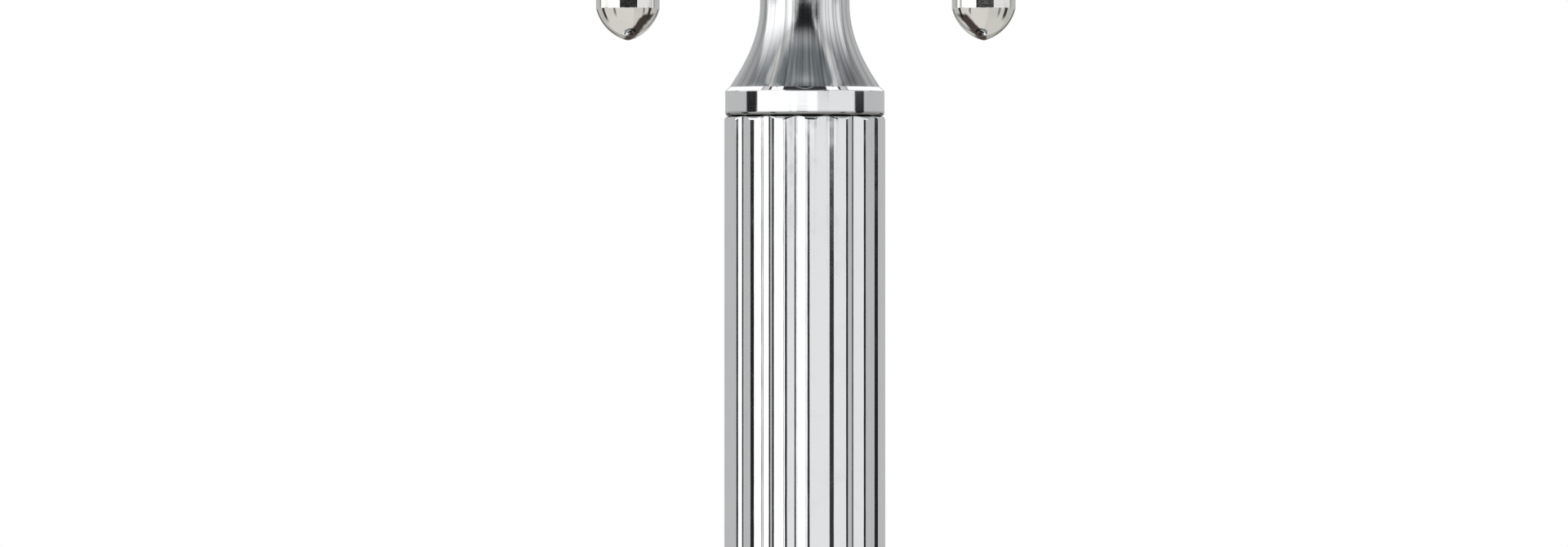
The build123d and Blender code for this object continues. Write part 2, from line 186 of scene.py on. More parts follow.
# the rest are degrees of elevation, unless they say otherwise
EYE_LEVEL = 0.82                # the top of the coat
GAP_TOPS = (1.15, 1.35)         # where the dark gaps beside the front wall end
SHADE_RISE = (14.0, 50.0)
TOP_OPENING = (66.0, 70.0)
OVERHEAD = (73.0, 74.5)
BACK_OPENING = (8.0, 14.0)
BACK_OPENING_EDGE = (174.5, 178.0)      # elevation and turn from the front, added
OPENING_LOW = 1.12
OPENING_HIGH, OPENING_FADE = 24.0, 46.0     # it ends in soft shade
OPENING_CENTRE, OPENING_HALF = 3.5, 32.0    # degrees to the right of the front, and to each side
PLEAT_STOPS = ((0.32, 0.25), (0.45, 0.80), (0.57, 1.05), (0.68, 2.0))


def turn_share(degrees):
    """A direction round the stand as a share of a full turn, from behind to behind."""
    return (degrees + 180) / 360


def wall_stops(edges):
    """The stops of a colour ramp that changes from one brightness to the next at each edge."""
    stops = []
    for (edge, level), (_, next_level) in zip(edges, edges[1:]):
        stops.append((turn_share(edge - EDGE_SOFTNESS), level))
        stops.append((turn_share(edge + EDGE_SOFTNESS), next_level))
    return stops


def turn_from_front(tree, parts):
    """Degrees round the stand from the front, from a point's or a direction's X and Y."""
    toward_front = maths(tree, "MULTIPLY", parts.outputs["Y"], -1.0)
    return maths(tree, "DEGREES", maths(tree, "ARCTAN2", parts.outputs["X"], toward_front))


def ring_of_walls(tree, azimuth, edges):
    """The brightness in each direction round the stand."""
    share = maths(tree, "DIVIDE", maths(tree, "ADD", azimuth, 180.0), 360.0)
    return ramp(tree, share, wall_stops(edges))


world = bpy.data.worlds.new("light_tent")
bpy.context.scene.world = world
world.use_nodes = True
tent = world.node_tree
tent.nodes.clear()

direction = add_node(tent, "ShaderNodeTexCoord").outputs["Generated"]
parts = add_node(tent, "ShaderNodeSeparateXYZ")
feed(tent, parts.inputs[0], direction)
azimuth = turn_from_front(tent, parts)
elevation = maths(tent, "DEGREES", maths(tent, "ARCSINE", parts.outputs["Z"]))

wall, low_wall, high_wall = (ring_of_walls(tent, azimuth, edges)
                             for edges in (WALL_EDGES, LOW_WALL_EDGES, HIGH_WALL_EDGES))
wall = blend_colours(tent, maths(tent, "LESS_THAN", elevation, EYE_LEVEL), wall, low_wall)
wall = blend_colours(tent, smooth_step(tent, elevation, *GAP_TOPS), wall, high_wall)

# pleats: a noise that changes only with the direction round the stand
flat_direction = add_node(tent, "ShaderNodeCombineXYZ")
feed(tent, flat_direction.inputs["X"], parts.outputs["X"])
feed(tent, flat_direction.inputs["Y"], parts.outputs["Y"])
around = add_node(tent, "ShaderNodeVectorMath", operation="NORMALIZE")
feed(tent, around.inputs[0], flat_direction.outputs[0])
pleat_noise = add_node(tent, "ShaderNodeTexNoise", noise_dimensions="2D")
feed(tent, pleat_noise.inputs["Vector"], around.outputs[0])
pleat_noise.inputs["Scale"].default_value = 13.0
pleat_noise.inputs["Detail"].default_value = 4.0
pleats = ramp(tent, pleat_noise.outputs["Fac"], PLEAT_STOPS)
shade = blend_colours(tent, 1.0, TENT_SHADE, pleats, "MULTIPLY")
to_each_side = maths(tent, "ABSOLUTE", azimuth)
shade = blend_colours(tent, smooth_step(tent, to_each_side, *SHADE_TURNS), shade, SHADE_BEHIND)

# %% The tent's openings
room = blend_colours(tent, smooth_step(tent, elevation, *SHADE_RISE), wall, shade)
room = blend_colours(tent, smooth_step(tent, elevation, *TOP_OPENING), room, OPEN_WHITE)
# the opening behind: its edge slopes down from overhead to the floor of the tent at the back
turned_and_raised = maths(tent, "ADD", elevation, to_each_side)
high_behind = maths(tent, "MULTIPLY", smooth_step(tent, turned_and_raised, *BACK_OPENING_EDGE),
                    smooth_step(tent, elevation, *BACK_OPENING))
room = blend_colours(tent, high_behind, room, OPEN_WHITE)
room = blend_colours(tent, smooth_step(tent, elevation, *OVERHEAD), room, OVERHEAD_DARK)

# the opening in front
aside = maths(tent, "ABSOLUTE", maths(tent, "SUBTRACT", azimuth, OPENING_CENTRE))
in_width = maths(tent, "LESS_THAN", aside, OPENING_HALF)
above_low = maths(tent, "GREATER_THAN", elevation, OPENING_LOW)
below_high = smooth_step(tent, elevation, OPENING_FADE, OPENING_HIGH)
in_opening = maths(tent, "MULTIPLY", in_width, maths(tent, "MULTIPLY", above_low, below_high))
room = blend_colours(tent, in_opening, room, OPENING_DARK)

lit = add_node(tent, "ShaderNodeBackground")
feed(tent, lit.inputs["Color"], room)
plain = add_node(tent, "ShaderNodeBackground")
feed(tent, plain.inputs["Color"], (1.0, 1.0, 1.0, 1.0))
seen = add_node(tent, "ShaderNodeLightPath")
choose = mix_shaders(tent, seen.outputs["Is Camera Ray"], lit, plain)
sky = add_node(tent, "ShaderNodeOutputWorld")
tent.links.new(choose.outputs[0], sky.inputs["Surface"])
print("the tent has", len(tent.nodes), "nodes")

# %% [markdown]
# ## Floor and softbox
# The floor is a pale disc, matt near the stand. Towards its rim it gives off as much light as
# the white behind it, so that no horizon shows. The chrome sees it differently: warm paper in
# front, shade behind, and further out narrow dark strips, which draw the edges of flutes and
# rods when the stand is seen from above eye level. One large softbox above and to the left
# makes a soft shadow. It isn't seen in the chrome, because the tent gives the reflections.

# %% Floor
FLOOR_RADIUS = 1.4
GLOW_BEGINS = (0.12, 1.0)       # metres from the stand, where the glow starts and is full
STRIPES_BEGIN = (0.12, 0.20)    # metres from the stand
PAPER = (0.80, 0.795, 0.775, 1.0)
FLOOR_TINT = (1.0, 0.985, 0.94)
NEAR_FLOOR_EDGES = ((-125, 0.42), (18, 0.69), (125, 0.62), (180, 0.42))
FLOOR_EDGES = ((-156, 0.30), (-144, 0.08), (-106, 0.52), (-92, 0.04), (-52, 0.66), (-44, 0.20),
               (18, 0.69), (54, 0.60), (62, 0.20), (80, 0.60), (95, 0.04), (144, 0.50), (156, 0.08),
               (180, 0.30))


def make_paper():
    """The floor's material: paper and glow for the camera, tinted strips for the chrome."""
    material = bpy.data.materials.new("pale_floor")
    material.use_nodes = True
    tree = material.node_tree
    shader = tree.nodes["Principled BSDF"]
    shader.inputs["Base Color"].default_value = PAPER
    shader.inputs["Roughness"].default_value = 0.65
    place = add_node(tree, "ShaderNodeTexCoord").outputs["Object"]
    length = add_node(tree, "ShaderNodeVectorMath", operation="LENGTH")
    feed(tree, length.inputs[0], place)
    from_stand = length.outputs["Value"]
    glow = add_node(tree, "ShaderNodeEmission")
    direct = mix_shaders(tree, smooth_step(tree, from_stand, *GLOW_BEGINS), shader, glow)

    parts = add_node(tree, "ShaderNodeSeparateXYZ")
    feed(tree, parts.inputs[0], place)
    azimuth = turn_from_front(tree, parts)
    level = blend_colours(tree, smooth_step(tree, from_stand, *STRIPES_BEGIN),
                          ring_of_walls(tree, azimuth, NEAR_FLOOR_EDGES),
                          ring_of_walls(tree, azimuth, FLOOR_EDGES))
    mirrored = add_node(tree, "ShaderNodeEmission")
    feed(tree, mirrored.inputs["Color"], blend_colours(tree, 1.0, level, FLOOR_TINT, "MULTIPLY"))
    ray = add_node(tree, "ShaderNodeLightPath")
    either = mix_shaders(tree, ray.outputs["Is Glossy Ray"], direct, mirrored)
    tree.links.new(either.outputs[0], tree.nodes["Material Output"].inputs["Surface"])
    return material


bpy.ops.object.select_all(action="DESELECT")
bpy.ops.mesh.primitive_circle_add(vertices=96, radius=FLOOR_RADIUS, fill_type="NGON", location=(0, 0, 0))
floor = bpy.context.object
floor.name = "floor"
floor.data.materials.append(make_paper())
print("floor:", round(2 * FLOOR_RADIUS, 1), "m across")

# %% Softbox
softbox_data = bpy.data.lights.new("softbox", "AREA")
softbox_data.shape = "SQUARE"
softbox_data.size = 0.9
softbox_data.energy = 11.0
softbox = bpy.data.objects.new("softbox", softbox_data)
softbox.location = (-0.55, -0.45, 1.2)
softbox.rotation_euler = (Vector((0, 0, 0.05)) - softbox.location).to_track_quat("-Z", "Y").to_euler()
softbox.visible_glossy = False
bpy.context.scene.collection.objects.link(softbox)
print("softbox:", softbox_data.size, "m across")

# %% [markdown]
# ## Shared surface effects
# Every finish on the stand needs the same three flaws, each at its own strength: polishing
# marks that run one way, soft smudges that dull the shine, and the slight ripple that plating
# leaves. Each is a node group, so that it is built once. A group takes coordinates in metres
# and gives back a height or a mask.

# %% Surface effect groups
def new_group(name, inputs, outputs):
    """An empty shader group with float or vector sockets."""
    group = bpy.data.node_groups.new(name, "ShaderNodeTree")
    for direction_name, sockets in (("INPUT", inputs), ("OUTPUT", outputs)):
        for socket_name, kind in sockets:
            group.interface.new_socket(socket_name, in_out=direction_name, socket_type=kind)
    return group, group.nodes.new("NodeGroupInput"), group.nodes.new("NodeGroupOutput")


def make_marks_group():
    """Polishing marks: a noise drawn out along Z of the coordinates that it is given."""
    group, taken, given = new_group(
        "polishing_marks",
        [("Vector", "NodeSocketVector"), ("Across per metre", "NodeSocketFloat"),
         ("Along per metre", "NodeSocketFloat")],
        [("Height", "NodeSocketFloat")])
    stretch = add_node(group, "ShaderNodeCombineXYZ")
    feed(group, stretch.inputs["X"], taken.outputs["Across per metre"])
    feed(group, stretch.inputs["Y"], taken.outputs["Across per metre"])
    feed(group, stretch.inputs["Z"], taken.outputs["Along per metre"])
    scaled = add_node(group, "ShaderNodeVectorMath", operation="MULTIPLY")
    feed(group, scaled.inputs[0], taken.outputs["Vector"])
    feed(group, scaled.inputs[1], stretch.outputs[0])
    noise = add_node(group, "ShaderNodeTexNoise")
    feed(group, noise.inputs["Vector"], scaled.outputs[0])
    noise.inputs["Scale"].default_value = 1.0
    noise.inputs["Detail"].default_value = 3.0
    feed(group, given.inputs["Height"], noise.outputs["Fac"])
    return group


def make_smudge_group():
    """Soft patches where the shine is dulled, 0 for clean and 1 for smudged."""
    group, taken, given = new_group(
        "smudges",
        [("Vector", "NodeSocketVector"), ("Per metre", "NodeSocketFloat")],
        [("Mask", "NodeSocketFloat")])
    noise = add_node(group, "ShaderNodeTexNoise")
    feed(group, noise.inputs["Vector"], taken.outputs["Vector"])
    feed(group, noise.inputs["Scale"], taken.outputs["Per metre"])
    noise.inputs["Detail"].default_value = 4.0
    noise.inputs["Distortion"].default_value = 0.6
    feed(group, given.inputs["Mask"], smooth_step(group, noise.outputs["Fac"], 0.45, 0.75))
    return group


def make_ripple_group():
    """The slow ripple of plated metal, as a height."""
    group, taken, given = new_group(
        "plating_ripple",
        [("Vector", "NodeSocketVector"), ("Per metre", "NodeSocketFloat")],
        [("Height", "NodeSocketFloat")])
    noise = add_node(group, "ShaderNodeTexNoise")
    feed(group, noise.inputs["Vector"], taken.outputs["Vector"])
    feed(group, noise.inputs["Scale"], taken.outputs["Per metre"])
    noise.inputs["Detail"].default_value = 1.0
    feed(group, given.inputs["Height"], noise.outputs["Fac"])
    return group


def make_seam_group():
    """Painted shade: a dark line at the two V-shaped seams of the fluted tube, fading beside them."""
    group, taken, given = new_group(
        "seam_shade",
        [("Vector", "NodeSocketVector"), ("Middle", "NodeSocketFloat"), ("Half length", "NodeSocketFloat"),
         ("Reach", "NodeSocketFloat")],
        [("Mask", "NodeSocketFloat")])
    split = add_node(group, "ShaderNodeSeparateXYZ")
    feed(group, split.inputs[0], taken.outputs["Vector"])
    height = maths(group, "SUBTRACT", split.outputs["Z"], taken.outputs["Middle"])
    past_end = maths(group, "SUBTRACT", maths(group, "ABSOLUTE", height), taken.outputs["Half length"])
    share_of_reach = maths(group, "DIVIDE", maths(group, "ABSOLUTE", past_end), taken.outputs["Reach"])
    near = maths(group, "SUBTRACT", 1.0, share_of_reach, clamp=True)
    feed(group, given.inputs["Mask"], maths(group, "POWER", near, 0.8))
    return group


MARKS = make_marks_group()
SMUDGES = make_smudge_group()
RIPPLE = make_ripple_group()
SEAM = make_seam_group()


def place_group(tree, group, **values):
    """Places a group in a material and sets its inputs. An underscore stands for a space."""
    node = add_node(tree, "ShaderNodeGroup", node_tree=group)
    for name, value in values.items():
        feed(tree, node.inputs[name.replace("_", " ")], value)
    return node.outputs[0]


# %% [markdown]
# ## Coordinates that follow the shape
# A polishing mark on a turned piece runs round the axis; on a drawn tube it runs along it.
# Object coordinates are in metres and don't move with the pose, so both patterns are worked
# out from them: (distance from the axis, height) for turned pieces, and (a point on the unit
# circle, height) for drawn ones.

# %% Coordinate helpers
def object_place(tree):
    """Object coordinates, in metres from the stand's origin."""
    return add_node(tree, "ShaderNodeTexCoord").outputs["Object"]


def turned_place(tree, place):
    """(0, height and radius, radius): the same all round the axis, so marks run round it."""
    split = add_node(tree, "ShaderNodeSeparateXYZ")
    feed(tree, split.inputs[0], place)
    flat = add_node(tree, "ShaderNodeCombineXYZ")
    feed(tree, flat.inputs["X"], split.outputs["X"])
    feed(tree, flat.inputs["Y"], split.outputs["Y"])
    radius = add_node(tree, "ShaderNodeVectorMath", operation="LENGTH")
    feed(tree, radius.inputs[0], flat.outputs[0])
    turned = add_node(tree, "ShaderNodeCombineXYZ")
    feed(tree, turned.inputs["X"], split.outputs["Z"])
    feed(tree, turned.inputs["Y"], radius.outputs["Value"])
    return turned.outputs[0]


def drawn_place(tree, place, radius):
    """Puts every point of a turned surface on one cylinder, so marks run straight up it."""
    split = add_node(tree, "ShaderNodeSeparateXYZ")
    feed(tree, split.inputs[0], place)
    flat = add_node(tree, "ShaderNodeCombineXYZ")
    feed(tree, flat.inputs["X"], split.outputs["X"])
    feed(tree, flat.inputs["Y"], split.outputs["Y"])
    unit = add_node(tree, "ShaderNodeVectorMath", operation="NORMALIZE")
    feed(tree, unit.inputs[0], flat.outputs[0])
    sized = add_node(tree, "ShaderNodeVectorMath", operation="SCALE")
    feed(tree, sized.inputs[0], unit.outputs[0])
    sized.inputs["Scale"].default_value = radius
    up = add_node(tree, "ShaderNodeCombineXYZ")
    feed(tree, up.inputs["Z"], split.outputs["Z"])
    drawn = add_node(tree, "ShaderNodeVectorMath", operation="ADD")
    feed(tree, drawn.inputs[0], sized.outputs[0])
    feed(tree, drawn.inputs[1], up.outputs[0])
    return drawn.outputs[0]


# %% [markdown]
# ## Chrome
# One recipe serves every plated piece. The base colour is close to white and a little cool.
# Roughness is low, and rises in smudges. Two bumps are added, one on the other: the ripple of
# the plating, and the marks that polishing left. Each piece gets its own values. The neck was
# brushed up and down by hand, so its marks are deeper and hold a little grime.

# %% Plated finishes
GRIME = (0.10, 0.105, 0.11)
# the colour of the painted shade in the seams at the ends of the fluted tube
SEAM_PAINTED_SHADE = (0.012, 0.012, 0.013)


def bumped(tree, height, depth, normal=None):
    """A Bump node: height from 0 to 1, depth in metres."""
    bump = add_node(tree, "ShaderNodeBump")
    bump.inputs["Strength"].default_value = 1.0
    bump.inputs["Distance"].default_value = depth
    feed(tree, bump.inputs["Height"], height)
    if normal is not None:
        feed(tree, bump.inputs["Normal"], normal)
    return bump.outputs["Normal"]


def new_material(name):
    """A material with its tree and its Principled shader."""
    material = bpy.data.materials.new(name)
    material.use_nodes = True
    return material, material.node_tree, material.node_tree.nodes["Principled BSDF"]


def plated(name, clean=(0.93, 0.94, 0.95), dull=(0.90, 0.91, 0.93), roughness=(0.03, 0.08), lay="turned",
           marks=(9000.0, 60.0, 0.5e-6), ripple=(260.0, 3e-6), radius=0.006, painted_shade_reach=None, grime=0.0):
    """Polished plate. marks = (across per metre, along per metre, depth); ripple = (per metre, depth)."""
    material, tree, shader = new_material(name)
    place = object_place(tree)
    if lay == "turned":
        followed = turned_place(tree, place)
    elif lay == "drawn":
        followed = drawn_place(tree, place, radius)
    else:
        followed = place
    smudged = place_group(tree, SMUDGES, Vector=place, Per_metre=ripple[0] * 0.8)
    lines = place_group(tree, MARKS, Vector=followed, Across_per_metre=marks[0], Along_per_metre=marks[1])
    waves = place_group(tree, RIPPLE, Vector=place, Per_metre=ripple[0])
    colour = blend_colours(tree, smudged, clean, dull)
    if grime > 0:
        held = maths(tree, "MULTIPLY", smooth_step(tree, lines, 0.44, 0.62), grime)
        colour = blend_colours(tree, held, colour, GRIME)
    # painted shade: the seams at the fluted tube's ends, and the rings' roundings beside them, are darkened
    if painted_shade_reach is not None:
        low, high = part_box("fluted_column")
        seam = place_group(tree, SEAM, Vector=place, Middle=(low.z + high.z) / 2,
                           Half_length=(high.z - low.z) / 2, Reach=painted_shade_reach)
        colour = blend_colours(tree, seam, colour, SEAM_PAINTED_SHADE)
    feed(tree, shader.inputs["Base Color"], colour)
    rough = maths(tree, "MULTIPLY_ADD", smudged, roughness[1] - roughness[0], roughness[0])
    rough = maths(tree, "MULTIPLY_ADD", lines, 0.02, rough)
    feed(tree, shader.inputs["Roughness"], rough)
    normal = bumped(tree, waves, ripple[1])
    normal = bumped(tree, lines, marks[2], normal)
    feed(tree, shader.inputs["Normal"], normal)
    shader.inputs["Metallic"].default_value = 1.0
    return material


polished_chrome = plated("polished_chrome")
ring_chrome = plated("ring_chrome", roughness=(0.015, 0.03), marks=(9000.0, 60.0, 0.15e-6),
                     ripple=(200.0, 0.3e-6), painted_shade_reach=0.40 * MM)
fluted_chrome = plated("fluted_chrome", roughness=(0.03, 0.06), lay="drawn",
                       marks=(9000.0, 420.0, 0.9e-6), ripple=(600.0, 1.2e-6), painted_shade_reach=0.12 * MM)
neck_chrome = plated("neck_chrome", roughness=(0.13, 0.17), lay="drawn",
                     marks=(4800.0, 30.0, 7e-6), ripple=(350.0, 1e-6), radius=0.004, grime=0.42)
print("plated finishes:", [m.name for m in bpy.data.materials if m.name.endswith("chrome")])

# %% [markdown]
# ## The tips' warm plate
# The tips are plated a little warmer than the rest. Water that runs off a wet razor dries on
# them, and leaves a brown stain low on the side that faces the other tip. The stain is placed
# by the distance inward from the tip's own axis and by the height above its point.

# %% Warm plate with a water stain
STAIN_SLOPE = 0.84              # how far inward the stain lies for each unit of height above the point
STAIN_HALF_WIDTH = 0.40 * MM
STAIN_RAG = 0.30 * MM           # how far its edges wander
STAIN_TOP = 2.0 * MM
STAIN_BROWN = (0.080, 0.064, 0.058)


def stained_plate(name):
    """Warm plate with a brown stain low on the inward front side of each tip."""
    material = plated(name, clean=(0.93, 0.925, 0.90), dull=(0.89, 0.885, 0.86), roughness=(0.02, 0.05),
                      ripple=(420.0, 0.8e-6), lay="plain", marks=(2600.0, 2600.0, 0.4e-6))
    tree = material.node_tree
    shader = tree.nodes["Principled BSDF"]
    plate = shader.inputs["Base Color"].links[0].from_socket
    low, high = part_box("right_tip")
    axis = (low + high) / 2
    split = add_node(tree, "ShaderNodeSeparateXYZ")
    feed(tree, split.inputs[0], object_place(tree))
    inward = maths(tree, "SUBTRACT", axis.x, maths(tree, "ABSOLUTE", split.outputs["X"]))
    height = maths(tree, "SUBTRACT", split.outputs["Z"], low.z)
    off_middle = maths(tree, "SUBTRACT", inward, maths(tree, "MULTIPLY", height, STAIN_SLOPE))
    rough_edge = place_group(tree, RIPPLE, Vector=object_place(tree), Per_metre=2600.0)
    ragged = maths(tree, "MULTIPLY_ADD", rough_edge, STAIN_RAG, maths(tree, "ABSOLUTE", off_middle))
    across = smooth_step(tree, ragged, STAIN_HALF_WIDTH + 0.22 * MM, STAIN_HALF_WIDTH)
    below = smooth_step(tree, height, STAIN_TOP, STAIN_TOP - 0.25 * MM)
    in_front = smooth_step(tree, split.outputs["Y"], axis.y, axis.y - 0.3 * MM)
    stain = maths(tree, "MULTIPLY", across, maths(tree, "MULTIPLY", below, in_front))
    feed(tree, shader.inputs["Base Color"], blend_colours(tree, stain, plate, STAIN_BROWN))
    return material


warm_plate = stained_plate("warm_plate")
print("stained plate:", warm_plate.name)

# %% [markdown]
# ## The hub's shaded underside
# Nobody sees the underside of the fork's hub, so it and the lower part of the rounding next
# to it are given painted shade: they are darkened and made dull. The finish is told apart by
# height alone.

# %% Hub finish
# the colour of the painted shade under the hub
UNDERSIDE_SHADE_COLOUR = (0.045, 0.043, 0.040)


def shaded_below(name, level):
    """Polished plate, with painted shade: darkened and dull just above a level."""
    material = plated(name)
    tree = material.node_tree
    shader = tree.nodes["Principled BSDF"]
    split = add_node(tree, "ShaderNodeSeparateXYZ")
    feed(tree, split.inputs[0], object_place(tree))
    # painted shade: the hub's underside and the lower part of its rounding are darkened
    underside_shade = smooth_step(tree, split.outputs["Z"], level + 0.70 * MM, level + 0.45 * MM)
    plate = shader.inputs["Base Color"].links[0].from_socket
    feed(tree, shader.inputs["Base Color"], blend_colours(tree, underside_shade, plate, UNDERSIDE_SHADE_COLOUR))
    shine = shader.inputs["Roughness"].links[0].from_socket
    feed(tree, shader.inputs["Roughness"], maths(tree, "MULTIPLY_ADD", underside_shade, 0.45, shine))
    return material


hub_chrome = shaded_below("hub_chrome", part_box("fork_hub")[0].z)
print("hub finish:", hub_chrome.name)

# %% [markdown]
# ## Modelling helpers
# Most pieces come off a lathe, so they are made the same way here: the outline is drawn as a
# chain of edges, radius against height, and spun once round the axis. Corners are given as
# (radius, height, rounding). Each rounding becomes a short arc with a holding point on either
# side, so that smooth shading stays inside the arc and the flats stay flat.

# %% Outline helpers
HOLD = 0.03 * MM
ARC_STEPS = 6


def soften(corners, closed=True):
    """Turns (radius, height, rounding) corners into outline points."""
    points = []
    last = len(corners) - 1
    for i, (radius, height, rounding) in enumerate(corners):
        here = Vector((radius, height))
        if rounding == 0 or (not closed and i in (0, last)):
            points.append(here)
            continue
        back = (Vector(corners[i - 1][:2]) - here).normalized()
        ahead = (Vector(corners[(i + 1) % len(corners)][:2]) - here).normalized()
        half = back.angle(ahead) / 2
        reach = rounding / math.tan(half)
        centre = here + (back + ahead).normalized() * rounding / math.sin(half)
        start, end = here + back * reach - centre, here + ahead * reach - centre
        sweep = start.angle_signed(end)
        points.append(here + back * (reach + HOLD))
        for k in range(ARC_STEPS + 1):
            turn = -sweep * k / ARC_STEPS
            points.append(centre + Vector((start.x * math.cos(turn) - start.y * math.sin(turn),
                                           start.x * math.sin(turn) + start.y * math.cos(turn))))
        points.append(here + ahead * (reach + HOLD))
    return points


def upright_arc(start, end, steps=16):
    """An arc that leaves start running straight up or down, and reaches end."""
    across, up = end[0] - start[0], end[1] - start[1]
    radius = (across ** 2 + up ** 2) / (2 * abs(across))
    sweep = math.asin(abs(up) / radius)
    side, way = math.copysign(1, across), math.copysign(1, up)
    return [Vector((start[0] + side * radius * (1 - math.cos(sweep * k / steps)),
                    start[1] + way * radius * math.sin(sweep * k / steps))) for k in range(steps + 1)]


def bulged_arc(start, end, bulge, steps=20):
    """An arc from start to end whose middle stands off the straight line by bulge, to its left."""
    start, end = Vector(start), Vector(end)
    chord = end - start
    radius = (chord.length ** 2 / 4 + bulge ** 2) / (2 * bulge)
    left = Vector((-chord.y, chord.x)).normalized()
    centre = (start + end) / 2 + left * (bulge - radius)
    half = math.asin(chord.length / (2 * radius))
    out = start - centre
    points = []
    for k in range(steps + 1):
        turn = -2 * half * k / steps
        points.append(centre + Vector((out.x * math.cos(turn) - out.y * math.sin(turn),
                                       out.x * math.sin(turn) + out.y * math.cos(turn))))
    return points


def bezier(p0, p1, p2, p3, steps=24):
    """A cubic curve through its first and last points."""
    points = []
    for k in range(steps + 1):
        t = k / steps
        s = 1 - t
        points.append(s ** 3 * Vector(p0) + 3 * s * s * t * Vector(p1)
                      + 3 * s * t * t * Vector(p2) + t ** 3 * Vector(p3))
    return points


def ogive(radius, length, nose, base, point, lean=0.0, steps=20):
    """A pointed end: an arc that starts off leaning in, and a small nose arc on the axis."""
    way = math.copysign(1, point - base)
    rise = length - nose
    slack = radius * math.cos(lean) - rise * math.sin(lean) - nose
    side = (radius ** 2 - nose ** 2 + rise ** 2) / (2 * slack)
    inset = side * math.cos(lean) - radius
    sunk = side * math.sin(lean)
    meet = math.atan2(rise + sunk, inset)
    points = []
    for k in range(steps + 1):
        angle = lean + (meet - lean) * k / steps
        up = side * math.sin(angle) - sunk
        points.append(Vector((side * math.cos(angle) - inset, base + way * up)))
    for k in range(1, ARC_STEPS + 1):
        angle = meet + (math.pi / 2 - meet) * k / ARC_STEPS
        points.append(Vector((nose * math.cos(angle), base + way * (rise + nose * math.sin(angle)))))
    points[-1] = Vector((0, point))
    return points


# %% Lathe helper
TURN_STEPS = 160


def start_piece(name):
    """A one-vertex mesh at the origin, open in edit mode."""
    bpy.ops.object.select_all(action="DESELECT")
    bpy.ops.mesh.primitive_plane_add(size=MM, location=(0, 0, 0))
    piece = bpy.context.object
    piece.name = name
    piece.data.name = name
    bpy.ops.object.mode_set(mode="EDIT")
    bpy.ops.mesh.select_mode(type="VERT")
    bpy.ops.mesh.merge(type="CENTER")
    return piece


def turn(name, outline, closed=True):
    """Draws the outline (radius, height), joins its ends if it is closed, and spins it round Z."""
    piece = start_piece(name)
    points = list(outline) + ([outline[0]] if closed else [])
    bpy.ops.transform.translate(value=(points[0][0], 0, points[0][1]))
    for here, there in zip(points, points[1:]):
        step = (there[0] - here[0], 0, there[1] - here[1])
        bpy.ops.mesh.extrude_vertices_move(TRANSFORM_OT_translate={"value": step})
    bpy.ops.mesh.select_all(action="SELECT")
    bpy.ops.mesh.remove_doubles(threshold=0.0005 * MM)
    bpy.ops.mesh.spin(steps=TURN_STEPS, angle=2 * math.pi, center=(0, 0, 0), axis=(0, 0, 1))
    bpy.ops.mesh.select_all(action="SELECT")
    bpy.ops.mesh.remove_doubles(threshold=0.0005 * MM)
    bpy.ops.mesh.normals_make_consistent(inside=False)
    bpy.ops.object.mode_set(mode="OBJECT")
    return piece


def complete(piece, body, node, material, sharp=35.0):
    """Smooths a finished piece, gives it its material, parents it to its body, hides its packed part."""
    bpy.ops.object.select_all(action="DESELECT")
    piece.select_set(True)
    bpy.context.view_layer.objects.active = piece
    bpy.ops.object.shade_smooth_by_angle(angle=math.radians(sharp))
    piece.data.materials.clear()
    piece.data.materials.append(material)
    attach(piece, body)
    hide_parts(node)
    print(f"{piece.name}: {len(piece.data.polygons)} faces, {piece.dimensions.x / MM:.2f} x "
          f"{piece.dimensions.y / MM:.2f} x {piece.dimensions.z / MM:.2f} mm")
    return piece


# %% [markdown]
# ## The base
# The base is a spun brass shell over a cast-iron weight. Its outline has an upright rim, a
# narrow ledge, a low crowned dome and a flat boss for the column's foot. The shell is turned
# with its inner wall too, so that the underside is a true hollow with the rubber sole in it.

# %% Base shell
SHELL_WALL = 1.2 * MM
RIM_HEIGHT = 5.2 * MM
LEDGE = 2.8 * MM
LEDGE_STEP = 0.9 * MM
BOSS_RADIUS = 12.5 * MM
BOSS_HEIGHT = 1.8 * MM
DOME_BULGE = 1.5 * MM
shell_low, shell_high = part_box("base_shell")
base_radius = shell_high.x
hole_radius = 3.05 * MM


def base_line(inset):
    """The base's outer line, taken in by inset, from the rim's foot to the boss's top."""
    rim = base_radius - inset
    ledge = base_radius - LEDGE - inset
    boss = BOSS_RADIUS - inset
    top = shell_high.z - inset
    step_top = RIM_HEIGHT + LEDGE_STEP - inset
    dome = bulged_arc((ledge, step_top), (boss, top - BOSS_HEIGHT), -DOME_BULGE)
    corners = [(rim, shell_low.z, 0.35 * MM), (rim, RIM_HEIGHT - inset, 0.9 * MM),
               (ledge, RIM_HEIGHT - inset, 0.12 * MM)]
    return corners, dome, [(boss, top - BOSS_HEIGHT, 0), (boss, top, 0.35 * MM)]


def shell_outline():
    """Outer line up, round the hole, and the inner line back down."""
    corners, dome, boss = base_line(0)
    foot, head = dome[0], dome[-1]
    outer = soften([(base_radius - SHELL_WALL, shell_low.z, 0)] + corners
                   + [(foot.x, foot.y, 0)], closed=False)[:-1]
    upper = soften([(dome[-2].x, dome[-2].y, 0), (head.x, head.y, 0.1 * MM), boss[1],
                    (hole_radius, boss[1][1], 0.1 * MM), (hole_radius, boss[1][1] - SHELL_WALL, 0)],
                   closed=False)[1:]
    corners, dome, boss = base_line(SHELL_WALL)
    inner = [Vector(boss[1][:2]), Vector(boss[0][:2])] + dome[-2:0:-1]
    inner += [dome[0], Vector(corners[2][:2]), Vector(corners[1][:2])]
    return outer + base_line(0)[1][:-1] + upper + inner


complete(turn("base_cover", shell_outline()), "stand", "base_shell", polished_chrome)
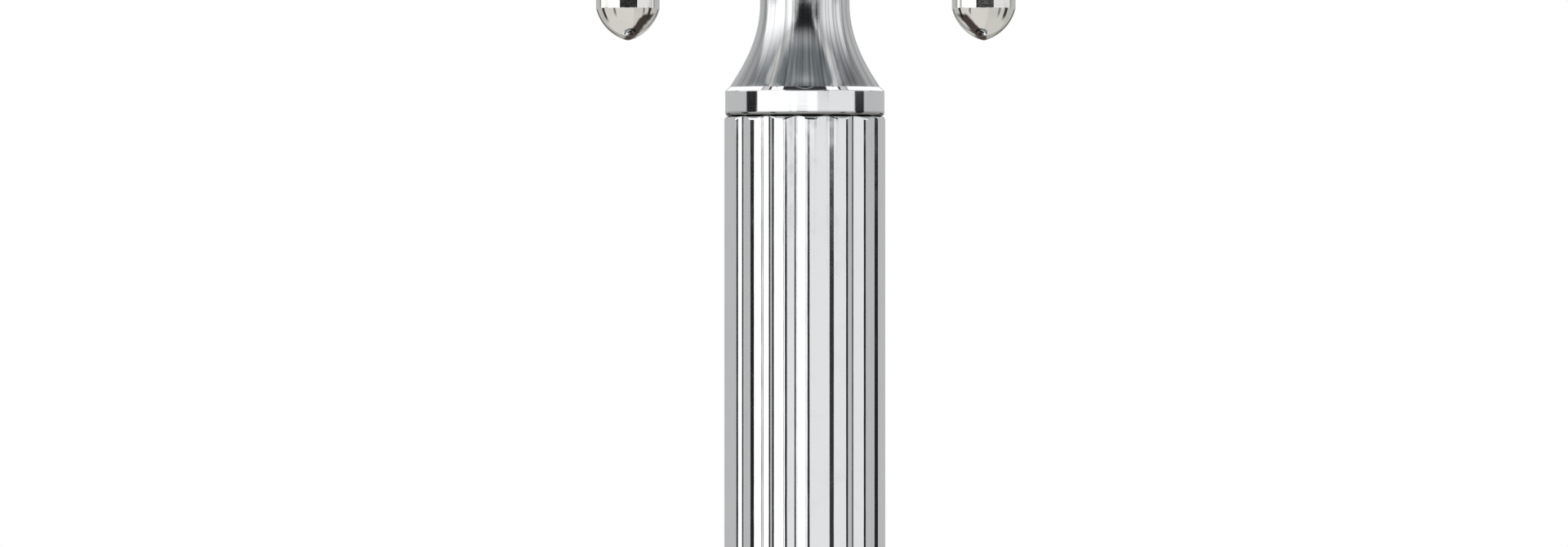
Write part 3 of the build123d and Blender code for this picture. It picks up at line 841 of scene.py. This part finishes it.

# %% [markdown]
# ## The column
# From the base up: a trumpet foot, a ring, the fluted tube, its twin ring, and the flared
# neck. The rings are chamfered on the side away from the tube and rounded next to it, which
# leaves a fine groove at each end of the tube. Its dark line, and the darkening of the ring's
# rounding beside it, are painted shade.

# %% Foot, rings and neck
SPIGOT_BORE = 3.05 * MM
ROD_BORE = 2.2 * MM
NECK_BASE = 5.675 * MM
NECK_WAIST = 3.375 * MM
NECK_FLARE_HEIGHT = 6.3 * MM
NECK_FLARE_ANGLE = math.radians(28)
NECK_FLARE_PULL = 0.8 * MM
NECK_WAIST_PULL = 3.2 * MM
NECK_WAIST_LENGTH = 1.4 * MM
NECK_LIP = 0.7 * MM
FOOT_LIP = 0.8 * MM
RING_CHAMFER = 0.3 * MM


def foot_outline():
    """Spigot, flat underside, lip, and the trumpet up to the ring."""
    low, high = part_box("column_foot")
    top = high.z
    underside = shell_high.z
    lip = (high.x, underside + FOOT_LIP)
    flare = upright_arc((NECK_BASE, top), lip)
    rim = soften([(ROD_BORE, low.z, 0), (3.0 * MM, low.z, 0), (3.0 * MM, underside, 0),
                  (high.x, underside, 0.12 * MM), (*lip, 0.12 * MM), tuple(flare[-2]) + (0,)], closed=False)
    return rim[:-1] + flare[-2::-1] + [Vector((ROD_BORE, top))]


def ring_outline(node, chamfer_up):
    """A ring with one chamfered and one rounded outer edge."""
    low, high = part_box(node)
    far, near, way = (high.z, low.z, 1) if chamfer_up else (low.z, high.z, -1)
    outer = [(high.x, near, 0.28 * MM), (high.x, far - way * RING_CHAMFER, 0.05 * MM),
             (high.x - RING_CHAMFER, far, 0.03 * MM)]
    if not chamfer_up:
        outer.reverse()
    return soften([(SPIGOT_BORE, low.z, 0)] + outer + [(SPIGOT_BORE, high.z, 0)])


def neck_outline():
    """The flare, the waist, and the head that the fork sits on."""
    low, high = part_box("neck")
    base, top = low.z, high.z
    head_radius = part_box("pivot_sleeve")[1].x + 1.75 * MM
    waist = (NECK_WAIST, base + NECK_FLARE_HEIGHT)
    waist_top = (NECK_WAIST, waist[1] + NECK_WAIST_LENGTH)
    above = (NECK_BASE - NECK_FLARE_PULL * math.sin(NECK_FLARE_ANGLE),
             base + NECK_FLARE_PULL * math.cos(NECK_FLARE_ANGLE))
    flare = bezier((NECK_BASE, base), above, (NECK_WAIST, waist[1] - NECK_WAIST_PULL), waist)
    head = upright_arc(waist_top, (head_radius, top - NECK_LIP), steps=10)
    lip = soften([tuple(head[-2]) + (0,), (head_radius, top - NECK_LIP, 0.1 * MM),
                  (head_radius, top, 0.1 * MM), (ROD_BORE, top, 0)], closed=False)
    return [Vector((ROD_BORE, base))] + flare + head[:-1] + lip[1:]


complete(turn("trumpet_foot", foot_outline()), "stand", "column_foot", polished_chrome)
for name, node, faces_up in (("ring_below", "lower_ring", False), ("ring_above", "upper_ring", True)):
    complete(turn(name, ring_outline(node, faces_up)), "stand", node, ring_chrome)
complete(turn("flared_neck", neck_outline()), "stand", "neck", neck_chrome)

# %% [markdown]
# ## The fluted tube
# The tube has sixteen hollows, each between two rounded shoulders, with narrow lands between
# them, and its ends are rounded over. A lathe can't make that, so it is drawn like an
# extrusion: one ring of vertices, raised step by step, with each family of vertices scaled in
# to its place in the hollow. Near the ends the rounding holds every vertex back to a circle.

# %% Fluted tube
FLUTES = 16
FLUTE_STEPS = 30                # vertices for each flute and its land
FLUTE_DEPTH = 0.245 * MM
FLUTE_LAND = 2.4                # degrees of plain land between two flutes
FLUTE_MEET = 3.6                # degrees from a flute's middle to where hollow and shoulder meet
FLUTE_TURN = math.radians(16.0)
COLUMN_RADIUS = 6.075 * MM
END_ROUND = 0.28 * MM
TUBE_BORE = 4.25 * MM
SAME_LEVEL = 1e-7               # metres


def flute_radius(share_of_pitch):
    """The section's radius, from a flute's middle (0) to the next one's (1)."""
    from_middle = abs((share_of_pitch + 0.5) % 1 - 0.5) * 360 / FLUTES
    shoulder = 180 / FLUTES - FLUTE_LAND / 2
    steepness = 2 * FLUTE_DEPTH / shoulder
    if from_middle >= shoulder:
        return COLUMN_RADIUS
    if from_middle >= FLUTE_MEET:
        return COLUMN_RADIUS - steepness * (shoulder - from_middle) ** 2 / (2 * (shoulder - FLUTE_MEET))
    return COLUMN_RADIUS - FLUTE_DEPTH + steepness * from_middle ** 2 / (2 * FLUTE_MEET)


def select_where(piece, test):
    """In edit mode, selects the vertices that pass a test."""
    mesh = bmesh.from_edit_mesh(piece.data)
    for vertex in mesh.verts:
        vertex.select = bool(test(vertex.co))
    mesh.select_flush_mode()
    bmesh.update_edit_mesh(piece.data)


def flute_step(co):
    """Which step across its flute a vertex of the tube stands on."""
    turned = math.atan2(co.y, co.x) - FLUTE_TURN - math.pi / 2
    return round(turned / (2 * math.pi) * FLUTES * FLUTE_STEPS) % FLUTE_STEPS


def build_fluted_tube():
    """A circle is extruded up the tube, and scaled step by step into the fluted section."""
    low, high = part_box("fluted_column")
    radius = COLUMN_RADIUS
    bpy.ops.object.select_all(action="DESELECT")
    bpy.ops.mesh.primitive_circle_add(vertices=FLUTES * FLUTE_STEPS, radius=radius - END_ROUND,
                                      location=(0, 0, low.z), rotation=(0, 0, FLUTE_TURN))
    tube = bpy.context.object
    tube.name = "fluted_tube"
    bpy.ops.object.transform_apply(location=True, rotation=True, scale=True)
    bpy.ops.object.mode_set(mode="EDIT")
    bpy.ops.mesh.select_mode(type="VERT")

    levels = []                 # (height, radius that the rounded end allows)
    for k in range(1, ARC_STEPS + 1):
        angle = math.pi / 2 * k / ARC_STEPS
        levels.append((END_ROUND * (1 - math.cos(angle)), radius - END_ROUND * (1 - math.sin(angle))))
    length = high.z - low.z
    middle = [(END_ROUND + HOLD, radius), (length - END_ROUND - HOLD, radius)]
    levels = [(0, radius - END_ROUND)] + levels + middle + [(length - h, r) for h, r in reversed(levels)]
    levels.append((length, radius - END_ROUND))

    section = [flute_radius(step / FLUTE_STEPS) for step in range(FLUTE_STEPS)]
    for (height, limit), (next_height, next_limit) in zip(levels, levels[1:]):
        bpy.ops.mesh.extrude_region_move(
            TRANSFORM_OT_translate={"value": (0, 0, next_height - height)})
        level = low.z + next_height
        for step, own_radius in enumerate(section):
            now, then = min(own_radius, limit), min(own_radius, next_limit)
            if abs(now - then) < 1e-9:
                continue
            select_where(tube, lambda co: abs(co.z - level) < SAME_LEVEL and flute_step(co) == step)
            bpy.ops.transform.resize(value=(then / now, then / now, 1), center_override=(0, 0, level))
        select_where(tube, lambda co: abs(co.z - level) < SAME_LEVEL)
    bpy.ops.mesh.extrude_region_move()
    inward = TUBE_BORE / (radius - END_ROUND)
    bpy.ops.transform.resize(value=(inward, inward, 1), center_override=(0, 0, high.z))
    bpy.ops.mesh.extrude_region_move(TRANSFORM_OT_translate={"value": (0, 0, -length)})
    select_where(tube, lambda co: abs(co.z - low.z) < SAME_LEVEL)
    bpy.ops.mesh.bridge_edge_loops()
    bpy.ops.mesh.select_all(action="SELECT")
    bpy.ops.mesh.normals_make_consistent(inside=False)
    bpy.ops.object.mode_set(mode="OBJECT")
    return tube


complete(build_fluted_tube(), "stand", "fluted_column", fluted_chrome, sharp=60)

# %% [markdown]
# ## The fork
# The hub is a turned drum with a round socket on each side, each holding one bent prong. The
# prongs are drawn rod: a circle is extruded along the straight runs and spun round the two
# bends. The acorn tips are turned like the rest and moved to the prongs' ends.

# %% Fork hub
SOCKET_RADIUS = 3.0 * MM
SOCKET_ROOT = 0.6 * MM          # where it starts, inside the drum, from the bore's wall
EDGE_BREAK = 0.35 * MM
HUB_ROUND = 0.9 * MM
PRONG_RADIUS = 1.75 * MM
hub_low, hub_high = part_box("fork_hub")
prong_height = (hub_low.z + hub_high.z) / 2
hub_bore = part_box("pivot_sleeve")[1].x + 0.05 * MM


def build_hub():
    """A turned drum, joined with a bored socket on each side."""
    drum_radius, mouth = hub_high.y, hub_high.x
    drum = turn("hub_casting", soften([(hub_bore, hub_low.z, 0.1 * MM),
                                       (drum_radius, hub_low.z, HUB_ROUND),
                                       (drum_radius, hub_high.z, HUB_ROUND),
                                       (hub_bore, hub_high.z, 0.1 * MM)]))
    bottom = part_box("right_prong")[0].x
    root = hub_bore + SOCKET_ROOT
    for side in (-1, 1):
        outline = soften([(0, bottom, 0), (PRONG_RADIUS, bottom, 0), (PRONG_RADIUS, mouth, 0.08 * MM),
                          (SOCKET_RADIUS, mouth, EDGE_BREAK), (SOCKET_RADIUS, root, 0), (0, root, 0)],
                         closed=False)
        socket = turn("socket", outline, closed=False)
        bpy.ops.object.mode_set(mode="EDIT")
        bpy.ops.mesh.select_all(action="SELECT")
        bpy.ops.object.mode_set(mode="OBJECT")
        socket.rotation_euler = (0, side * math.pi / 2, 0)
        socket.location = (0, 0, prong_height)
        bpy.ops.object.select_all(action="DESELECT")
        socket.select_set(True)
        bpy.context.view_layer.objects.active = socket
        bpy.ops.object.transform_apply(location=True, rotation=True, scale=True)
        bpy.context.view_layer.objects.active = drum
        union = drum.modifiers.new("socket", "BOOLEAN")
        union.operation = "UNION"
        union.solver = "EXACT"
        union.object = socket
        bpy.ops.object.modifier_apply(modifier=union.name)
        bpy.data.objects.remove(socket)
    return drum


complete(build_hub(), "fork", "fork_hub", hub_chrome)

# %% Prongs
SIDE_BEND = 5.0 * MM
DOWN_BEND = 5.0 * MM
ROD_SIDES = 48
BEND_STEPS = 20


def build_prong(name, side):
    """Circle in the socket, straight out, bend forward, straight, bend down, into the tip."""
    low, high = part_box("right_prong")
    run_x = high.x - PRONG_RADIUS
    reach = -low.y - PRONG_RADIUS
    bpy.ops.object.select_all(action="DESELECT")
    bpy.ops.mesh.primitive_circle_add(
        vertices=ROD_SIDES, radius=PRONG_RADIUS, fill_type="NGON",
        location=(side * low.x, 0, prong_height), rotation=(0, math.pi / 2, 0))
    rod = bpy.context.object
    rod.name = name
    bpy.ops.object.transform_apply(location=True, rotation=True, scale=True)
    bpy.ops.object.mode_set(mode="EDIT")
    bpy.ops.mesh.select_mode(type="FACE")
    bpy.ops.mesh.select_all(action="SELECT")
    bpy.ops.mesh.extrude_region_move(
        TRANSFORM_OT_translate={"value": (side * (run_x - SIDE_BEND - low.x), 0, 0)})
    bpy.ops.mesh.spin(steps=BEND_STEPS, angle=math.pi / 2, axis=(0, 0, side),
                      center=(side * (run_x - SIDE_BEND), -SIDE_BEND, prong_height))
    bpy.ops.mesh.extrude_region_move(
        TRANSFORM_OT_translate={"value": (0, -(reach - SIDE_BEND - DOWN_BEND), 0)})
    bpy.ops.mesh.spin(steps=BEND_STEPS, angle=math.pi / 2, axis=(-1, 0, 0),
                      center=(side * run_x, -(reach - DOWN_BEND), prong_height - DOWN_BEND))
    bpy.ops.mesh.extrude_region_move(
        TRANSFORM_OT_translate={"value": (0, 0, low.z - (prong_height - DOWN_BEND))})
    bpy.ops.mesh.select_all(action="SELECT")
    bpy.ops.mesh.remove_doubles(threshold=0.0005 * MM)
    bpy.ops.mesh.normals_make_consistent(inside=False)
    bpy.ops.object.mode_set(mode="OBJECT")
    return rod


for side, word in ((-1, "left"), (1, "right")):
    complete(build_prong(f"{word}_rod", side), "fork", f"{word}_prong", polished_chrome)

# %% Acorn tips
TIP_RADIUS = 2.3 * MM
TIP_OGIVE = 2.3 * MM
TIP_LEAN = math.radians(14)
TIP_NOSE = 0.36 * MM
COLLAR_HEIGHT = 0.8 * MM
COLLAR_ROUND = 0.24 * MM


def build_tip(name, node):
    """An acorn with a thin collar, bored for the prong, then moved out to its place."""
    low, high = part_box(node)
    centre = (low + high) / 2
    collar_radius = (high.y - low.y) / 2
    body_end = low.z + TIP_OGIVE
    point = ogive(TIP_RADIUS, TIP_OGIVE, TIP_NOSE, body_end, low.z, TIP_LEAN)
    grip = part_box(node.replace("tip", "prong"))[0].z
    collar = high.z - COLLAR_HEIGHT
    body = soften([tuple(point[0]) + (0,), (TIP_RADIUS, collar, 0.05 * MM),
                   (collar_radius, collar, COLLAR_ROUND), (collar_radius, high.z, COLLAR_ROUND),
                   (PRONG_RADIUS, high.z, 0.06 * MM), (PRONG_RADIUS, grip, 0), (0, grip, 0)],
                  closed=False)
    hold = Vector((TIP_RADIUS, body_end + HOLD))
    acorn = turn(name, point[::-1] + [hold] + body[1:], closed=False)
    bpy.ops.object.mode_set(mode="EDIT")
    bpy.ops.mesh.select_all(action="SELECT")
    bpy.ops.transform.translate(value=(centre.x, centre.y, 0))
    bpy.ops.object.mode_set(mode="OBJECT")
    return acorn


for word in ("left", "right"):
    complete(build_tip(f"{word}_acorn", f"{word}_tip"), "fork", f"{word}_tip", warm_plate)

# %% [markdown]
# ## The finial
# The finial is the knob that clamps everything. It is an acorn again, upside down, on a
# waist and a skirt, with a blind hole for the tie rod.

# %% Finial
KNOB_WAIST = 2.95 * MM
KNOB_BULB = 4.2 * MM
KNOB_SKIRT_HEIGHT = 1.5 * MM
KNOB_WAIST_HEIGHT = 1.9 * MM
KNOB_BULB_HEIGHT = 8.6 * MM     # to the knob's top; its lowest 0.3 is straight
KNOB_NOSE = 0.6 * MM
ROOM_ROUND_ROD = 0.05 * MM
ROOM_ABOVE_ROD = 0.6 * MM


def finial_outline():
    """Half the knob's section: hole, skirt, waist, bulb and domed top."""
    low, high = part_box("finial")
    skirt, waist, bulb = high.x, KNOB_WAIST, KNOB_BULB
    skirt_top = low.z + KNOB_SKIRT_HEIGHT
    bulb_low = skirt_top + KNOB_WAIST_HEIGHT
    shoulder = bulb_low + KNOB_BULB_HEIGHT * 0.3
    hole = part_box("tie_rod")[1].x + ROOM_ROUND_ROD
    hole_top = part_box("tie_rod")[1].z + ROOM_ABOVE_ROD
    stem = soften([(0, hole_top, 0), (hole, hole_top, 0), (hole, low.z, 0.1 * MM),
                   (skirt, low.z, 0.1 * MM), (skirt, skirt_top, 0.675 * MM),
                   (waist, skirt_top, 0.7 * MM), (waist, bulb_low, 0.7 * MM),
                   (bulb, bulb_low, 0.9 * MM), (bulb, shoulder, 0)], closed=False)
    return stem[:-1] + ogive(bulb, high.z - shoulder, KNOB_NOSE, shoulder, high.z)


complete(turn("knob", finial_outline(), closed=False), "finial_knob", "finial", polished_chrome)

# %% [markdown]
# ## Plain finishes for the pieces kept as packed
# The sole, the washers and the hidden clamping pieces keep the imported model's own meshes.
# They still get real finishes: moulded rubber, nylon, bare turned brass, zinc-plated steel
# and black-painted cast iron.

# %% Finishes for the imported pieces
def plain_finish(name, light, dark, roughness, metallic, grain, depth):
    """A finish whose colour, roughness and height all follow one grain."""
    material, tree, shader = new_material(name)
    place = object_place(tree)
    worn = place_group(tree, SMUDGES, Vector=place, Per_metre=grain * 0.25)
    height = place_group(tree, RIPPLE, Vector=place, Per_metre=grain)
    feed(tree, shader.inputs["Base Color"], blend_colours(tree, worn, light, dark))
    feed(tree, shader.inputs["Roughness"], maths(tree, "MULTIPLY_ADD", worn, 0.15, roughness))
    feed(tree, shader.inputs["Normal"], bumped(tree, height, depth))
    shader.inputs["Metallic"].default_value = metallic
    return material


FINISHES = {
    "pad": plain_finish(
        "sole_rubber", (0.030, 0.030, 0.033), (0.048, 0.047, 0.046),
        roughness=0.62, metallic=0.0, grain=1600.0, depth=3e-5),
    "nylon": plain_finish(
        "natural_nylon", (0.80, 0.79, 0.74), (0.72, 0.71, 0.66),
        roughness=0.42, metallic=0.0, grain=900.0, depth=8e-6),
    "bare_brass": plain_finish(
        "bare_brass", (0.80, 0.60, 0.28), (0.62, 0.45, 0.20),
        roughness=0.24, metallic=1.0, grain=1400.0, depth=4e-6),
    "steel": plain_finish(
        "zinc_steel", (0.62, 0.63, 0.65), (0.48, 0.49, 0.50),
        roughness=0.30, metallic=1.0, grain=1800.0, depth=5e-6),
    "ballast": plain_finish(
        "painted_iron", (0.030, 0.031, 0.033), (0.060, 0.058, 0.055),
        roughness=0.50, metallic=0.0, grain=700.0, depth=9e-5),
}
for entry in frame["record"]["subparts"]:
    node = frame["nodes"][entry["node"]]
    finish = FINISHES.get(entry["material_slot"])
    if finish is not None:
        node.data.materials.clear()
        node.data.materials.append(finish)
